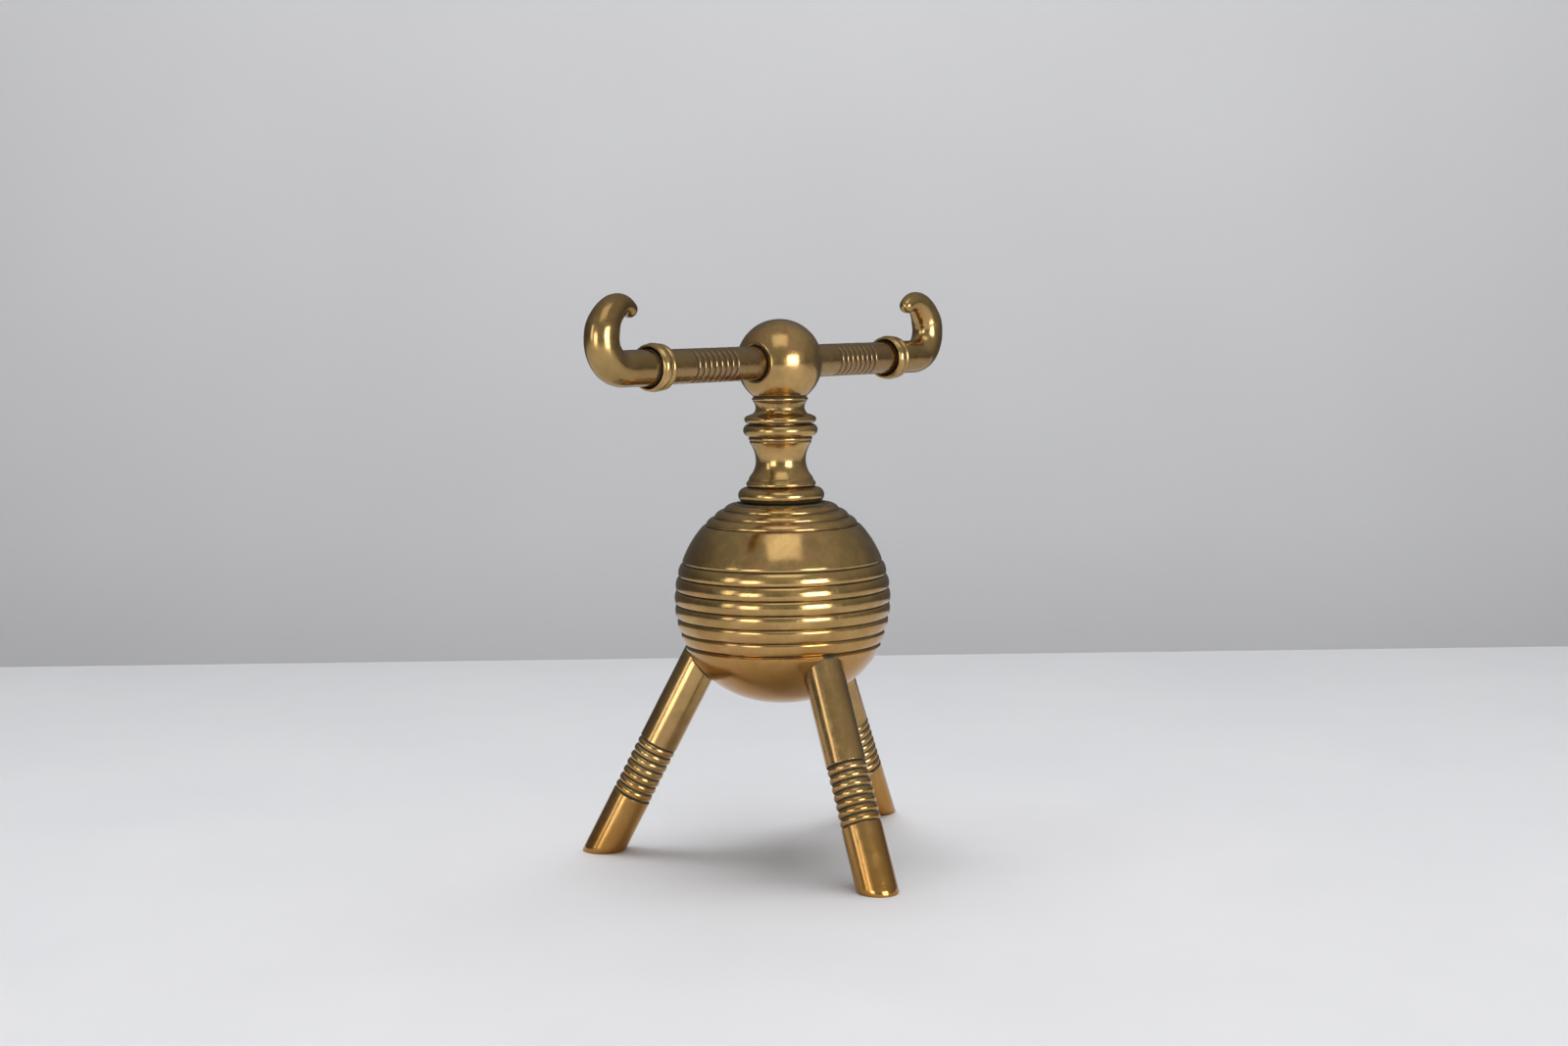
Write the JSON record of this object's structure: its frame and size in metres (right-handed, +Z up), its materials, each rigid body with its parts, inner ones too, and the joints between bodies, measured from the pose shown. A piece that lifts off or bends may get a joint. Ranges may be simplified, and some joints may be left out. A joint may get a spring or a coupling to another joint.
{
  "type": "table-top string winder",
  "caption": "Brass string winder: a reeded hollow ball on splayed legs carries a turned neck and a freely turning cross-bar with upturned horns that the string is wound between.",
  "frame": {"origin": "on the table, under the vertical axis that the head turns about", "axes": "+Z up along the turning axis; +X towards the foot of leg A; at rest the cross-bar lies 7.5 degrees clockwise of X seen from above"},
  "size_m": [0.175, 0.121, 0.1864],
  "materials": {
    "brass_ball": "aged, handled brass with brown patina and dark grooves",
    "brass_neck": "aged brass, brighter on the beads",
    "brass_leg": "aged brass with green verdigris between the reeds",
    "brass_head": "aged brass, reddish patches and fine pits",
    "brass_collar": "aged brass with bright worn crests",
    "brass_inner": "dull unpolished brass",
    "steel": "dark plain steel"
  },
  "bodies": {
    "base": {"ball_upper_shell": "brass_ball", "ball_lower_shell": "brass_ball", "ball_joint_ring": "brass_inner", "neck_column": "brass_neck", "neck_washer": "steel", "neck_nut": "steel", "thrust_washer": "brass_inner", "leg_a": "brass_leg", "leg_b": "brass_leg", "leg_c": "brass_leg", "leg_stud_a": "steel", "leg_stud_b": "steel", "leg_stud_c": "steel", "leg_saddle_a": "brass_inner", "leg_saddle_b": "brass_inner", "leg_saddle_c": "brass_inner", "leg_nut_a": "steel", "leg_nut_b": "steel", "leg_nut_c": "steel"},
    "head": {"spindle": "steel", "spindle_washer": "steel", "spindle_nut": "steel", "spindle_locknut": "steel", "head_socket": "brass_neck", "head_ball": "brass_head", "tie_rod": "steel", "arm_left": "brass_head", "arm_right": "brass_head", "collar_left": "brass_collar", "collar_right": "brass_collar", "horn_left": "brass_head", "horn_right": "brass_head"}
  },
  "joints": [
    {"name": "head_turn", "type": "hinge", "parent": "base", "child": "head", "pos_m": [0, 0, 0.1437], "axis": [0, 0, 1], "continuous": true}
  ]
}
